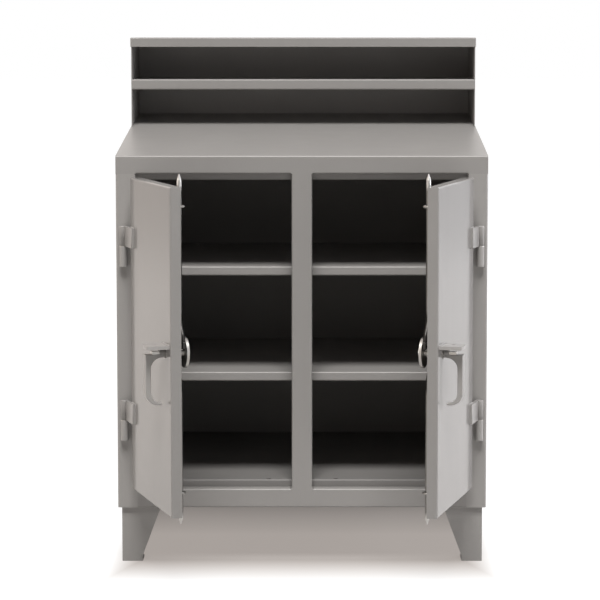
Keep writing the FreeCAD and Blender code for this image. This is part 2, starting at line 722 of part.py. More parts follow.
def make_handle():
    """J-shaped lever: a hub, an arm that sweeps round into the grip, and a foot that tapers as it curls to the door."""
    grip_in = GRIP_OUT - GRIP_THICKNESS
    sweep = grip_in - ARM_ROOT
    arm_top = -ARM_DROP
    arm_foot = arm_top - ARM_DEPTH
    inner_radius = CURL_RADIUS - CURL_TIP
    outer_curl = (GRIP_OUT - CURL_RADIUS, -GRIP_DROP)
    inner_curl = (grip_in - inner_radius, -GRIP_DROP)
    arm_sweep = (ARM_ROOT, arm_foot - sweep)
    top_root = handle_point(ARM_ROOT, arm_top)
    top_out = handle_point(GRIP_OUT, arm_top)
    grip_foot = handle_point(GRIP_OUT, -GRIP_DROP)
    curl_foot = arc_about(outer_curl, CURL_RADIUS, -90)
    outer_tip = handle_point(grip_in - inner_radius, -GRIP_DROP - CURL_RADIUS)
    inner_tip = arc_about(inner_curl, inner_radius, -90)
    inner_foot = handle_point(grip_in, -GRIP_DROP)
    inner_top = handle_point(grip_in, arm_foot - sweep)
    root_foot = handle_point(ARM_ROOT, arm_foot)
    edges = [
        Part.LineSegment(top_root, top_out).toShape(),
        Part.LineSegment(top_out, grip_foot).toShape(),
        Part.Arc(grip_foot, arc_about(outer_curl, CURL_RADIUS, -45), curl_foot).toShape(),
        Part.LineSegment(curl_foot, outer_tip).toShape(),
        Part.LineSegment(outer_tip, inner_tip).toShape(),
        Part.Arc(inner_tip, arc_about(inner_curl, inner_radius, -45), inner_foot).toShape(),
        Part.LineSegment(inner_foot, inner_top).toShape(),
        Part.Arc(inner_top, arc_about(arm_sweep, sweep, 45), root_foot).toShape(),
        Part.LineSegment(root_foot, top_root).toShape(),
    ]
    lever = Part.Face(Part.Wire(edges)).extrude(V(GRIP_WIDTH, 0, 0))
    root_y = DOOR_FACE - ARM_ROOT
    tip_level = HANDLE_HEIGHT - GRIP_DROP
    rounded = []
    for edge in lever.Edges:
        box = edge.BoundBox
        side_edge = box.XLength < GRIP_WIDTH / 2
        if side_edge and (box.YMin < root_y - GRIP_ROUND or box.ZMax < tip_level):
            rounded.append(edge)
    lever = lever.makeFillet(GRIP_ROUND, rounded)
    hub = rod_along_y(HUB_RADIUS, -HANDLE_X, HANDLE_HEIGHT, DOOR_FACE - HUB_END, DOOR_FACE - HUB_START)
    bore = rod_along_y(
        SPINDLE_RADIUS + SPINDLE_SEAT, -HANDLE_X, HANDLE_HEIGHT, DOOR_FACE - HUB_END, DOOR_FACE - HUB_START
    )
    hole_low = HANDLE_HEIGHT - GRIP_DROP / 2
    shackle = rod_upright(
        PADLOCK_HOLE_RADIUS, -HANDLE_X, DOOR_FACE - PADLOCK_REACH, hole_low, HANDLE_HEIGHT + arm_top
    )
    return joined([lever, hub]).cut([bore, shackle])


def make_lock_lug():
    """Plated lug round the padlock hole, on top of the handle's arm."""
    low = HANDLE_HEIGHT - ARM_DROP
    middle = DOOR_FACE - PADLOCK_REACH
    half = LUG_WIDTH / 2
    x0 = -HANDLE_X - half
    plate = block(x0, x0 + LUG_WIDTH, middle - LUG_LENGTH / 2, middle + LUG_LENGTH / 2, low, low + LUG_THICKNESS)
    return plate.cut(rod_upright(PADLOCK_HOLE_RADIUS, -HANDLE_X, middle, low, low + LUG_THICKNESS))


def make_spindle():
    """Shaft from the handle's hub through the door to the cam's nut."""
    return rod_along_y(
        SPINDLE_RADIUS, -HANDLE_X, HANDLE_HEIGHT, DOOR_FACE - HUB_END, DOOR_FACE + CAM_BACK + CAM_NUT
    )


def cam_corner(side, up):
    """Place of a pin on the cam."""
    return -HANDLE_X + side * CAM_PIN_OFFSET, HANDLE_HEIGHT + up * CAM_PIN_OFFSET


def make_cam():
    """Round cam plate with a hub that runs up to the bush."""
    y0 = DOOR_FACE + CAM_FRONT
    y1 = DOOR_FACE + CAM_BACK
    pieces = [rod_along_y(CAM_DISC_RADIUS, -HANDLE_X, HANDLE_HEIGHT, y0, y1)]
    hub_start = DOOR_BACK + BUSH_TAIL + CAM_HUB_GAP
    pieces.append(rod_along_y(CAM_HUB_RADIUS, -HANDLE_X, HANDLE_HEIGHT, hub_start, y0))
    bore = rod_along_y(SPINDLE_RADIUS + SPINDLE_SEAT, -HANDLE_X, HANDLE_HEIGHT, hub_start, y1)
    return joined(pieces).cut(bore)


def make_cam_nut():
    """Hexagon nut that holds the cam on the spindle."""
    base = V(-HANDLE_X, DOOR_FACE + CAM_BACK, HANDLE_HEIGHT)
    nut = hexagon_along(CAM_NUT_ACROSS_FLATS, base, V(0, CAM_NUT, 0))
    return nut.cut(
        rod_along_y(SPINDLE_RADIUS + SPINDLE_SEAT, -HANDLE_X, HANDLE_HEIGHT, base.y, base.y + CAM_NUT)
    )


def make_cam_pin(side):
    """Shouldered pin on the cam that works in the slot of a rod's eye."""
    x, z = cam_corner(side, side)
    eye_back = DOOR_FACE + ROD_DEPTH + EYE_THICKNESS / 2
    eye_front = eye_back - EYE_THICKNESS
    shoulder_start = eye_back + CAM_PIN_SHOULDER_GAP
    head_end = eye_front - CAM_PIN_HEAD_GAP
    shoulder = rod_along_y(CAM_PIN_SHOULDER_RADIUS, x, z, shoulder_start, DOOR_FACE + CAM_FRONT)
    shank = rod_along_y(CAM_PIN_RADIUS, x, z, head_end, shoulder_start)
    head = rod_along_y(CAM_PIN_SHOULDER_RADIUS, x, z, head_end - CAM_PIN_HEAD, head_end)
    return joined([shoulder, shank, head])


def make_rod(reach):
    """Latch rod as it lies above the spindle: a pointed bar, a jog to one side and a slotted eye."""
    slot_half = CAM_PIN_RADIUS + CAM_PIN_PLAY
    play_half = (CAM_PIN_CIRCLE - CAM_PIN_OFFSET) / 2
    eye_half_width = play_half + slot_half + EYE_WALL
    eye_half_height = slot_half + EYE_WALL
    eye_top = CAM_PIN_OFFSET + eye_half_height
    path = [(0, reach - ROD_POINT), (0, ROD_JOG_START), (ROD_JOG, ROD_JOG_END), (ROD_JOG, eye_top - EYE_BAR_LAP)]
    spine = Part.Wire(rounded_run(path, [ROD_JOG_RADIUS, ROD_JOG_RADIUS], on_xz(0)))
    section = Part.Wire(Part.makeCircle(ROD_RADIUS, V(0, 0, reach - ROD_POINT), V(0, 0, 1)))
    bar = spine.makePipeShell([section], True, False)
    point = Part.makeCone(ROD_RADIUS, ROD_POINT_RADIUS, ROD_POINT, V(0, 0, reach - ROD_POINT))
    half = EYE_THICKNESS / 2
    eye = block(
        ROD_JOG - eye_half_width,
        ROD_JOG + eye_half_width,
        -half,
        half,
        CAM_PIN_OFFSET - eye_half_height,
        eye_top,
    )
    eye = eye.makeFillet(EYE_CORNER, [e for e in eye.Edges if e.BoundBox.YLength > half])
    slot = [block(ROD_JOG - play_half, ROD_JOG + play_half, -ROD_RADIUS, ROD_RADIUS,
                  CAM_PIN_OFFSET - slot_half, CAM_PIN_OFFSET + slot_half)]
    for side in (-1, 1):
        slot.append(rod_along_y(slot_half, ROD_JOG + side * play_half, CAM_PIN_OFFSET, -ROD_RADIUS, ROD_RADIUS))
    return joined([bar, point, eye]).cut(slot)


def make_upper_rod():
    """Rod that reaches up behind the head stop."""
    rod = make_rod(ROD_TOP - HANDLE_HEIGHT)
    rod.translate(V(-HANDLE_X, DOOR_FACE + ROD_DEPTH, HANDLE_HEIGHT))
    return rod


def make_lower_rod():
    """Rod that reaches down through the hole in the floor."""
    rod = make_rod(HANDLE_HEIGHT - ROD_BOTTOM)
    rod.rotate(V(0, 0, 0), V(0, 1, 0), 180)
    rod.translate(V(-HANDLE_X, DOOR_FACE + ROD_DEPTH, HANDLE_HEIGHT))
    return rod


# Assembly


def make_body():
    """Nodes of the cabinet, its riser and the fixed half of the hinges."""
    left_side = make_left_side()
    base_angle = make_left_base_angle()
    shelf_tops = (FLOOR_TOP + SHELF_PITCH, FLOOR_TOP + 2 * SHELF_PITCH)
    cleats = group([make_left_cleat(top) for top in shelf_tops])
    leg = make_front_left_leg()
    rear_leg = leg.mirror(V(0, 0, 0), V(0, 1, 0))
    riser_side = make_left_riser_side()
    bolts = [make_leg_bolt(x, y) for x, y in left_bolt_places()]
    knuckles = group([make_frame_knuckle(level) for level in HINGE_LEVELS])
    pins = [make_hinge_pin(level) for level in HINGE_LEVELS]
    washers = [make_hinge_washer(level) for level in HINGE_LEVELS]
    return {
        "desk_top": make_desk_top(),
        "left_side_panel": left_side,
        "right_side_panel": mirrored(left_side),
        "back_panel": make_back_panel(),
        "head_stop": make_head_stop(),
        "bottom_rail": make_bottom_rail(),
        "floor_pan": make_floor_pan(),
        "center_mullion": make_mullion(),
        "left_base_angle": base_angle,
        "right_base_angle": mirrored(base_angle),
        "lower_shelf": make_shelf(shelf_tops[0]),
        "upper_shelf": make_shelf(shelf_tops[1]),
        "left_shelf_cleats": cleats,
        "right_shelf_cleats": mirrored(cleats),
        "front_left_leg": leg,
        "front_right_leg": mirrored(leg),
        "rear_left_leg": rear_leg,
        "rear_right_leg": mirrored(rear_leg),
        "leg_bolts": group(bolts + [mirrored(b) for b in bolts]),
        "riser_left_side": riser_side,
        "riser_right_side": mirrored(riser_side),
        "riser_back": make_riser_back(),
        "riser_shelf": make_riser_shelf(),
        "riser_top": make_riser_top(),
        "left_frame_knuckles": knuckles,
        "right_frame_knuckles": mirrored(knuckles),
        "hinge_pins": group(pins + [mirrored(p) for p in pins]),
        "hinge_washers": group(washers + [mirrored(w) for w in washers]),
    }


def make_left_door():
    """Nodes of the left door and its latch, shut."""
    guide_levels = (DOOR_BOTTOM + GUIDE_INSET, DOOR_TOP - GUIDE_INSET)
    return {
        "door_panel": make_door_panel(),
        "door_stiffener": make_stiffener(),
        "hinge_leaves": group([make_door_leaf(level) for level in HINGE_LEVELS]),
        "handle_bush": make_bush(),
        "hasp": make_hasp(),
        "rod_guides": group([make_rod_guide(level) for level in guide_levels]),
        "handle": make_handle(),
        "lock_lug": make_lock_lug(),
        "spindle": make_spindle(),
        "cam": make_cam(),
        "cam_pins": group([make_cam_pin(side) for side in (-1, 1)]),
        "cam_nut": make_cam_nut(),
        "upper_rod": make_upper_rod(),
        "lower_rod": make_lower_rod(),
    }


def make_all():
    """Every node, with the doors swung open."""
    nodes = make_body()
    for name, shape in make_left_door().items():
        right = mirrored(shape)
        shape.rotate(V(-HINGE_X, HINGE_Y, 0), V(0, 0, 1), -LEFT_OPEN_ANGLE)
        right.rotate(V(HINGE_X, HINGE_Y, 0), V(0, 0, 1), RIGHT_OPEN_ANGLE)
        nodes["left_" + name] = shape
        nodes["right_" + name] = right
    return nodes


os.makedirs("parts", exist_ok=True)
for node, solid in make_all().items():
    solid.exportStep("parts/" + node + ".step")
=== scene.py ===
import json
import math

import bmesh
import bpy
from mathutils import Matrix, Vector


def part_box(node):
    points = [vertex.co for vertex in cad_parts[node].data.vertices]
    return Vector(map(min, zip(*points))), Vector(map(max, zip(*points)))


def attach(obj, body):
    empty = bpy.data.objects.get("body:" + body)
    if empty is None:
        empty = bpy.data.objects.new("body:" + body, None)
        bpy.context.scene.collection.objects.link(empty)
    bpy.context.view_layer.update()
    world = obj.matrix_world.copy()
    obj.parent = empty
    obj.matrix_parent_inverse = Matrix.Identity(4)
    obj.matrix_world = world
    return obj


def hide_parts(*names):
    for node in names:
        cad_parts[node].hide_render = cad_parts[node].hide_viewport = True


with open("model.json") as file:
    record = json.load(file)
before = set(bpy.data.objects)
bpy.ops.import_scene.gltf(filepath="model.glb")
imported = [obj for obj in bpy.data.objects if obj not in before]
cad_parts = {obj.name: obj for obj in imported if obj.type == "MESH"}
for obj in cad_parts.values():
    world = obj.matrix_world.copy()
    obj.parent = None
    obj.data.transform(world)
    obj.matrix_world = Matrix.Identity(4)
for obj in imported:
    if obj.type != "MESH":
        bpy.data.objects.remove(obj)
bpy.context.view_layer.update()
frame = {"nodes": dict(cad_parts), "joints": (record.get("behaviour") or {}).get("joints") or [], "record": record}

# Camera, as fitted to the photograph's view, in metres, degrees and pixels
FRAME_PIXELS = 600
FOCAL_PIXELS = 2281.0
PRINCIPAL_POINT = (321.0, 239.6)
CAMERA_PLACE = (0.0471, -5.9426, 1.3106)
CAMERA_PITCH = 5.162
SENSOR = 36.0
VIEW_REACH = 200.0

# The doors, hinges and latches come in pairs
SIDES = ("left", "right")

# Colours, linear
PAINT = (0.300, 0.290, 0.282)
ZINC = (0.44, 0.43, 0.41)
# Painted shade: the bar steel is a darker copy of the zinc, for the rods, spindles and pins.
SHADED_BAR_STEEL = (0.20, 0.195, 0.188)
# Painted highlight for the rods' tips, and painted shade for the rods beside the cam
TIP_HIGHLIGHT_STEEL = (0.50, 0.495, 0.48)
CAM_SHADE_STEEL = (0.05, 0.048, 0.046)

# Floor and room: colours, levels of light, and the places in metres where the shadow starts and ends. The shadow
# is painted into the floor's glow, lowest under the object and tinted warm, over the floor's own dim real shadow;
# reflections see the floor's glow dimmed near the object, a painted shade.
FLOOR_REACH = 60.0
FLOOR_ROUGHNESS = 0.9
FLOOR_PATCHES = (1.5, 2.0)
FLOOR_PATCH_SHARES = (0.99, 1.01)
FLOOR = (0.10, 0.098, 0.096)
FLOOR_BOUNCE = (0.55, 0.54, 0.53)
# Painted shadow: the floor's glow at the front of the object and under its back
FRONT_SHADOW_GLOW = 0.38
BACK_SHADOW_GLOW = 0.18
WHITE_GLOW = 1.0
# Painted shade in reflections: the floor's glow as reflections see it near and far from the object
NEAR_REFLECTION_SHADE = 0.25
FAR_REFLECTION_SHADE = 0.65
REFLECTION_SHADE_REACH = (0.6, 4.0)
SHADOW_FADE = (-0.04, 0.36)
SHADOW_START = (0.40, 0.335)
SHADOW_END = (0.48, 0.56)
SHADOW_TINT = (1.0, 0.905, 0.845)
AMBIENT = 0.13
WARM_SIDE = (1.0, 0.90, 0.83)
COOL_SIDE = (0.985, 0.985, 1.0)
FLOOR_BLEND = 1.5
WORLD_BLEND = 0.4

# Lamps: place and aim, size in metres, watts, colour, and whether reflections show it
LAMPS = {
    "key": ((0.0, -6.2, 11.6), (0.0, -0.2, 0.7), (5.0, 4.0), 1780.0, (1.0, 0.985, 0.965), True),
    "left": ((-3.6, 0.0, 1.3), (-0.4, -0.3, 0.6), (1.2, 1.2), 22.0, (1.0, 0.90, 0.82), True),
    "right": ((3.6, 0.0, 1.3), (0.4, -0.3, 0.6), (1.2, 1.2), 66.0, (0.96, 0.96, 1.0), True),
    "back": ((0.0, 7.0, 3.4), (0.0, 0.35, 0.7), (4.0, 2.0), 270.0, (1.0, 0.985, 0.97), False),
}

# Sheet sizes that the welds follow, in metres and degrees
DESK_SLOPE = 6.4
DOOR_FOLD = 0.005
STIFFENER_SHEET = 0.002
STIFFENER_FLANGE = 0.015
KNUCKLE_FOOT_HALF = 0.0065
LEG_PLATE = 0.0048
LEG_TOP_PLATE = 0.005
LEG_FOOT_WIDTH = 0.0508
FOOT_PLATE = 0.006

# Enamels: share of the paint's colour, roughness, specular level, and the ends of the names that take each. Shares
# above one on the frame, the riser's back, the hinges, the hasp and the handle are painted light, lighter copies
# of the one paint; shares below one on the riser and the floor pan are painted shade, darker copies.
BODY_ROUGHNESS = 0.36
BODY_SHEEN = 0.5
ENAMELS = {
    # Painted light: the side panels and legs take a lighter copy of the paint.
    "frame_painted_light_enamel": (1.10, 0.36, 0.50, ("side_panel", "_leg")),
    "desk_enamel": (1.00, 0.38, 0.52, ("desk_top",)),
    # Painted shade: the riser's top and shelf take a darker copy of the paint.
    "riser_painted_shade_enamel": (0.94, 0.36, 0.50, ("riser_top", "riser_shelf")),
    # Painted light: the riser's back, in the shade of its bays, takes a lighter copy of the paint.
    "riser_back_painted_light_enamel": (1.20, 0.60, 0.46, ("riser_back",)),
    "inside_enamel": (1.00, 0.62, 0.14, ("back_panel", "_left_side", "_right_side", "base_angle", "shelf_cleats")),
    # Painted shade: the floor pan takes a darker copy of the paint.
    "floor_pan_painted_shade_enamel": (0.66, 0.50, 0.40, ("floor_pan",)),
    "door_enamel": (0.97, 0.12, 0.40, ("door_panel", "door_stiffener")),
    # Painted light: the hinge halves take a lighter copy of the paint.
    "hinge_painted_light_enamel": (1.12, 0.24, 0.50, ("_frame_knuckles", "_hinge_leaves")),
    # Painted light: the hasps take a lighter copy of the paint.
    "hasp_painted_light_enamel": (1.20, 0.24, 0.50, ("_hasp",)),
    # Painted light: the handles take a lighter copy of the paint.
    "handle_painted_light_enamel": (1.12, 0.32, 0.50, ("_handle",)),
}

# Platings: share of a colour, the colour, roughness, and the stretch of the drawn lines. The bar's colour and the
# wire's share darken the zinc: painted shade on the rods, spindles, pins and rod guides.
PLATE = (1.0, ZINC, 0.34, (1.0, 1.0, 1.0))
# Painted shade: the bar takes the zinc darkened.
BAR = (1.0, SHADED_BAR_STEEL, 0.36, (1.0, 1.0, 0.05))
# Painted shade: the rod guides' wire is a darker copy of the zinc.
SHADED_WIRE = (0.72, ZINC, 0.50, (1.0, 1.0, 1.0))
BAR_NODES = ("_rod", "_spindle", "_pins")

# Marks in the enamel: scale and detail of each noise, the range it is mapped to and from, and shares of the colour
EDGE_SAMPLES = 4
EDGE_TURN = (0.80, 0.985)
CLOUDS = (3.0, 2.0)
CLOUD_SHARES = (0.98, 1.02)
RUNS = (22.0, 4.0, (1.0, 1.0, 0.06))
RUN_RANGE = (0.0, 0.35, 0.52, 0.80)
RUN_SHARE = 0.92
SPECKS = (380.0, 1.0)
SPECK_RANGE = (0.0, 0.10, 0.60, 0.72)
SPECK_SHARE = 0.62
RUBBING = (60.0, 4.0)
RUB_RANGE = (0.0, 0.45, 0.48, 0.66)
RUB_SHARE = 1.32
RUB_EDGE = 0.0011
GLOSS_PATCHES = (17.0, 3.0)
GLOSS_SPREAD = (0.02, 0.03)
PEEL = (420.0, 2.0)
PEEL_STRENGTH = 0.05
PEEL_DEPTH = 0.0003
PAINT_IOR = 1.5

# Marks in the plating
DRAWN_LINES = (500.0, 3.0)
LINE_RANGE = (0.0, 0.5, 0.0, 1.0)
LINE_SHARE = 0.88
LINE_STRENGTH = 0.10
LINE_DEPTH = 0.0002
BLOTCHES = (45.0, 4.0)
BLOTCH_SHARES = (0.84, 1.08)
BRIGHT_EDGE = 0.0007
BRIGHT_SHARE = 1.25
DULL_PATCHES = (90.0, 4.0)
DULL_SPREAD = (0.06, 0.10)

# Painted highlight at the rods' tips and painted shade on them beside the cam, by the distance up or down from the
# handle, in metres
TIP_HIGHLIGHT_REACH = (0.375, 0.388)
CAM_SHADE_REACH = (0.085, 0.100)

# Mullion, in metres
BODY_SHEET = 0.0027
BEND_RADIUS = 0.0042
BEND_STEPS = 6
MULLION_BRIM = 0.008
MULLION_RETURN = 0.012
CORNER_FILLET = 0.004
FILLET_STEPS = 5
FLAT_NORMAL = 0.999

# Door halves of the hinges, in metres
LEAF_THICKNESS = 0.0075
LEAF_START = 0.0060
LEAF_CHAMFER = 0.0010
BARREL_BORE = 0.00458
BARREL_CAP = 0.0050
BARREL_CHAMFER = 0.0008
BARREL_SIDES = 40

# Welds, in metres
WELD_RADIUS = 0.0022
SMALL_WELD_RADIUS = 0.0012
WELD_RIPPLE = 0.0040
RIPPLE_LOW = 0.90
RIPPLE_RISE = 0.14
DRIFT_SHARE = 0.10
DRIFT_PITCH = 0.017
DRIFT_PHASE = 40
WELD_STEP = 0.0010
FEWEST_STEPS = 6
ROUND_STEPS = 28
WELD_SIDES = 8
END_SQUARE = 0.05
STEEP = 0.9
STITCH = 0.040
STITCH_PITCH = 0.120
STITCH_END_GAP = 0.030
SPOT_RADIUS = 0.0034
SPOT_PITCH = 0.076
SPOT_SIDES = 14
SPOT_PROFILE = ((1.0, -0.00005), (0.84, 0.00035), (0.62, 0.0003), (0.45, 0.0001), (0.2, 0.00006))


# Materials


def new_material(name):
    """An empty node material with its shader, and the output joined up."""
    material = bpy.data.materials.new(name)
    material.use_nodes = True
    tree = material.node_tree
    return material, tree, tree.nodes["Principled BSDF"]


def add_node(tree, kind, **values):
    """A node with its sockets or settings filled in."""
    node = tree.nodes.new(kind)
    for key, value in values.items():
        if key in node.inputs:
            node.inputs[key].default_value = value
        else:
            setattr(node, key, value)
    return node


def add_noise(tree, scale, detail, stretch=(1.0, 1.0, 1.0)):
    """Noise over the piece's own place, in metres, stretched along its axes."""
    place = add_node(tree, "ShaderNodeTexCoord")
    mapping = add_node(tree, "ShaderNodeMapping")
    mapping.inputs["Scale"].default_value = stretch
    noise = add_node(tree, "ShaderNodeTexNoise", Scale=scale, Detail=detail)
    tree.links.new(place.outputs["Object"], mapping.inputs["Vector"])
    tree.links.new(mapping.outputs["Vector"], noise.inputs["Vector"])
    return noise.outputs["Fac"]


def add_range(tree, value, low, high, from_low=0.3, from_high=0.7):
    """A value mapped from one range to another."""
    node = add_node(tree, "ShaderNodeMapRange")
    node.inputs["From Min"].default_value = from_low
    node.inputs["From Max"].default_value = from_high
    node.inputs["To Min"].default_value = low
    node.inputs["To Max"].default_value = high
    tree.links.new(value, node.inputs["Value"])
    return node.outputs["Result"]


def add_mix(tree, factor, first, second):
    """Two colours mixed by a factor. Either may be a socket."""
    node = add_node(tree, "ShaderNodeMix", data_type="RGBA")
    tree.links.new(factor, node.inputs["Factor"])
    for name, colour in (("A", first), ("B", second)):
        socket = [s for s in node.inputs if s.name == name and s.type == "RGBA"][0]
        if isinstance(colour, tuple):
            socket.default_value = colour + (1.0,)
        else:
            tree.links.new(colour, socket)
    return [s for s in node.outputs if s.type == "RGBA"][0]


def add_math(tree, operation, *values):
    """One or two values taken through an operation."""
    node = add_node(tree, "ShaderNodeMath", operation=operation)
    for value, socket in zip(values, node.inputs):
        tree.links.new(value, socket)
    return node.outputs["Value"]


def add_edge_mask(tree, radius):
    """One along the edges of a solid and nought on its flat faces."""
    bevel = add_node(tree, "ShaderNodeBevel", samples=EDGE_SAMPLES, Radius=radius)
    geometry = add_node(tree, "ShaderNodeNewGeometry")
    dot = add_node(tree, "ShaderNodeVectorMath", operation="DOT_PRODUCT")
    tree.links.new(bevel.outputs["Normal"], dot.inputs[0])
    tree.links.new(geometry.outputs["Normal"], dot.inputs[1])
    return add_range(tree, dot.outputs["Value"], 1.0, 0.0, *EDGE_TURN)


def shade(colour, share):
    """The colour made lighter or darker."""
    return tuple(channel * share for channel in colour)


def paint_material(name, colour, roughness, sheen):
    """Sprayed enamel: faint clouds, runs and specks, edges a little rubbed, and an orange-peel surface."""
    material, tree, shader = new_material(name)
    cloud = add_range(tree, add_noise(tree, *CLOUDS), 0.0, 1.0)
    clouded = add_mix(tree, cloud, *[shade(colour, share) for share in CLOUD_SHARES])
    run = add_range(tree, add_noise(tree, *RUNS), *RUN_RANGE)
    streaked = add_mix(tree, run, clouded, shade(colour, RUN_SHARE))
    speck = add_range(tree, add_noise(tree, *SPECKS), *SPECK_RANGE)
    specked = add_mix(tree, speck, streaked, shade(colour, SPECK_SHARE))
    rub = add_range(tree, add_noise(tree, *RUBBING), *RUB_RANGE)
    rubbed = add_math(tree, "MULTIPLY", add_edge_mask(tree, RUB_EDGE), rub)
    tree.links.new(add_mix(tree, rubbed, specked, shade(colour, RUB_SHARE)), shader.inputs["Base Color"])
    less, more = GLOSS_SPREAD
    gloss = add_range(tree, add_noise(tree, *GLOSS_PATCHES), roughness - less, roughness + more)
    tree.links.new(gloss, shader.inputs["Roughness"])
    bump = add_node(tree, "ShaderNodeBump", Strength=PEEL_STRENGTH, Distance=PEEL_DEPTH)
    tree.links.new(add_noise(tree, *PEEL), bump.inputs["Height"])
    tree.links.new(bump.outputs["Normal"], shader.inputs["Normal"])
    shader.inputs["IOR"].default_value = PAINT_IOR
    shader.inputs["Specular IOR Level"].default_value = sheen
    return material


def add_rod_light_and_shade(tree, base):
    """The bar's colour with a painted highlight at the tips and painted shade beside the cam."""
    level = joint_of("left_handle_turn")["pos_m"][2]
    split = add_node(tree, "ShaderNodeSeparateXYZ")
    tree.links.new(add_node(tree, "ShaderNodeTexCoord").outputs["Object"], split.inputs["Vector"])
    rise = add_range(tree, split.outputs["Z"], -1.0, 1.0, level - 1.0, level + 1.0)
    reach = add_math(tree, "ABSOLUTE", rise)
    # Painted highlight: the rod's tips made lighter.
    rubbed = add_mix(tree, add_range(tree, reach, 0.0, 1.0, *TIP_HIGHLIGHT_REACH), base, TIP_HIGHLIGHT_STEEL)
    # Painted shade: the rod made darker beside the cam.
    return add_mix(tree, add_range(tree, reach, 1.0, 0.0, *CAM_SHADE_REACH), rubbed, CAM_SHADE_STEEL)


def plated_material(name, plating, light_and_shade_on_rod=False):
    """Zinc plating: drawn lines along the bar, soft blotches and duller patches, and on a rod a painted highlight
    at the tips and painted shade beside the cam.
    """
    share, colour, roughness, stretch = plating
    colour = shade(colour, share)
    material, tree, shader = new_material(name)
    drawn = add_range(tree, add_noise(tree, *DRAWN_LINES, stretch), 0.0, 1.0)
    blotch = add_range(tree, add_noise(tree, *BLOTCHES), 0.0, 1.0)
    blotched = add_mix(tree, blotch, *[shade(colour, part) for part in BLOTCH_SHARES])
    lined = add_mix(tree, add_range(tree, drawn, *LINE_RANGE), blotched, shade(colour, LINE_SHARE))
    plain = add_mix(tree, add_edge_mask(tree, BRIGHT_EDGE), lined, shade(colour, BRIGHT_SHARE))
    tree.links.new(add_rod_light_and_shade(tree, plain) if light_and_shade_on_rod else plain, shader.inputs["Base Color"])
    less, more = DULL_SPREAD
    gloss = add_range(tree, add_noise(tree, *DULL_PATCHES), roughness - less, roughness + more)
    tree.links.new(gloss, shader.inputs["Roughness"])
    bump = add_node(tree, "ShaderNodeBump", Strength=LINE_STRENGTH, Distance=LINE_DEPTH)
    tree.links.new(drawn, bump.inputs["Height"])
    tree.links.new(bump.outputs["Normal"], shader.inputs["Normal"])
    shader.inputs["Metallic"].default_value = 1.0
    return material


def seen_directly(tree):
    """One for camera, glossy and transmission rays, and nought for the rays that light the object."""
    path = add_node(tree, "ShaderNodeLightPath")
    total = path.outputs["Is Camera Ray"]
    for name in ("Is Glossy Ray", "Is Transmission Ray"):
        total = add_math(tree, "MAXIMUM", total, path.outputs[name])
    return total


def room_colour(tree, across, reach):
    """White to the camera, and to other rays warm on the left of the room and cool on its right."""
    room = add_mix(tree, add_range(tree, across, 0.0, 1.0, -reach, reach), WARM_SIDE, COOL_SIDE)
    path = add_node(tree, "ShaderNodeLightPath")
    return add_mix(tree, path.outputs["Is Camera Ray"], room, (1.0, 1.0, 1.0))


def floor_material():
    """Pale floor with a shadow painted into its glow round the object, over its own dim real shadow, and white
    away from it; reflections see its glow dimmed near the object, a painted shade.
    """
    material, tree, shader = new_material("pale_floor")
    shader.inputs["Roughness"].default_value = FLOOR_ROUGHNESS
    shader.inputs["Specular IOR Level"].default_value = 0.0
    patch = add_range(tree, add_noise(tree, *FLOOR_PATCHES), 0.0, 1.0)
    seen = add_mix(tree, patch, *[shade(FLOOR, share) for share in FLOOR_PATCH_SHARES])
    camera_ray = add_node(tree, "ShaderNodeLightPath").outputs["Is Camera Ray"]
    tree.links.new(add_mix(tree, camera_ray, FLOOR_BOUNCE, seen), shader.inputs["Base Color"])
    place = add_node(tree, "ShaderNodeTexCoord")
    split = add_node(tree, "ShaderNodeSeparateXYZ")
    tree.links.new(place.outputs["Object"], split.inputs["Vector"])
    # Painted shadow: round the object the glow is lower, lower still towards the back, and tinted warm; outside it
    # rises to white.
    sizes = [add_math(tree, "ABSOLUTE", split.outputs[axis]) for axis in "XY"]
    shares = [add_range(tree, size, 0.0, 1.0, SHADOW_START[i], SHADOW_END[i]) for i, size in enumerate(sizes)]
    outside = add_math(tree, "MAXIMUM", *shares)
    glow = add_node(tree, "ShaderNodeMapRange")
    tree.links.new(outside, glow.inputs["Value"])
    tree.links.new(add_range(tree, split.outputs["Y"], FRONT_SHADOW_GLOW, BACK_SHADOW_GLOW, *SHADOW_FADE), glow.inputs["To Min"])
    glow.inputs["To Max"].default_value = WHITE_GLOW
    # Painted shade in reflections: to all but camera rays the glow is dimmed near the object.
    near = add_range(tree, sizes[0], NEAR_REFLECTION_SHADE, FAR_REFLECTION_SHADE, *REFLECTION_SHADE_REACH)
    lit = add_math(tree, "MAXIMUM", near, camera_ray)
    level = add_math(tree, "MULTIPLY", glow.outputs["Result"], lit)
    white = room_colour(tree, split.outputs["X"], FLOOR_BLEND)
    tree.links.new(add_mix(tree, outside, SHADOW_TINT, white), shader.inputs["Emission Color"])
    tree.links.new(add_math(tree, "MULTIPLY", seen_directly(tree), level), shader.inputs["Emission Strength"])
    return material


# Stage


def make_world():
    """White to the camera and to reflections, and a low even light on the object."""
    world = bpy.data.worlds.new("studio")
    world.use_nodes = True
    tree = world.node_tree
    background = tree.nodes["Background"]
    split = add_node(tree, "ShaderNodeSeparateXYZ")
    tree.links.new(add_node(tree, "ShaderNodeTexCoord").outputs["Generated"], split.inputs["Vector"])
    tree.links.new(room_colour(tree, split.outputs["X"], WORLD_BLEND), background.inputs["Color"])
    strength = add_range(tree, seen_directly(tree), AMBIENT, 1.0, 0.0, 1.0)
    tree.links.new(strength, background.inputs["Strength"])
    bpy.context.scene.world = world


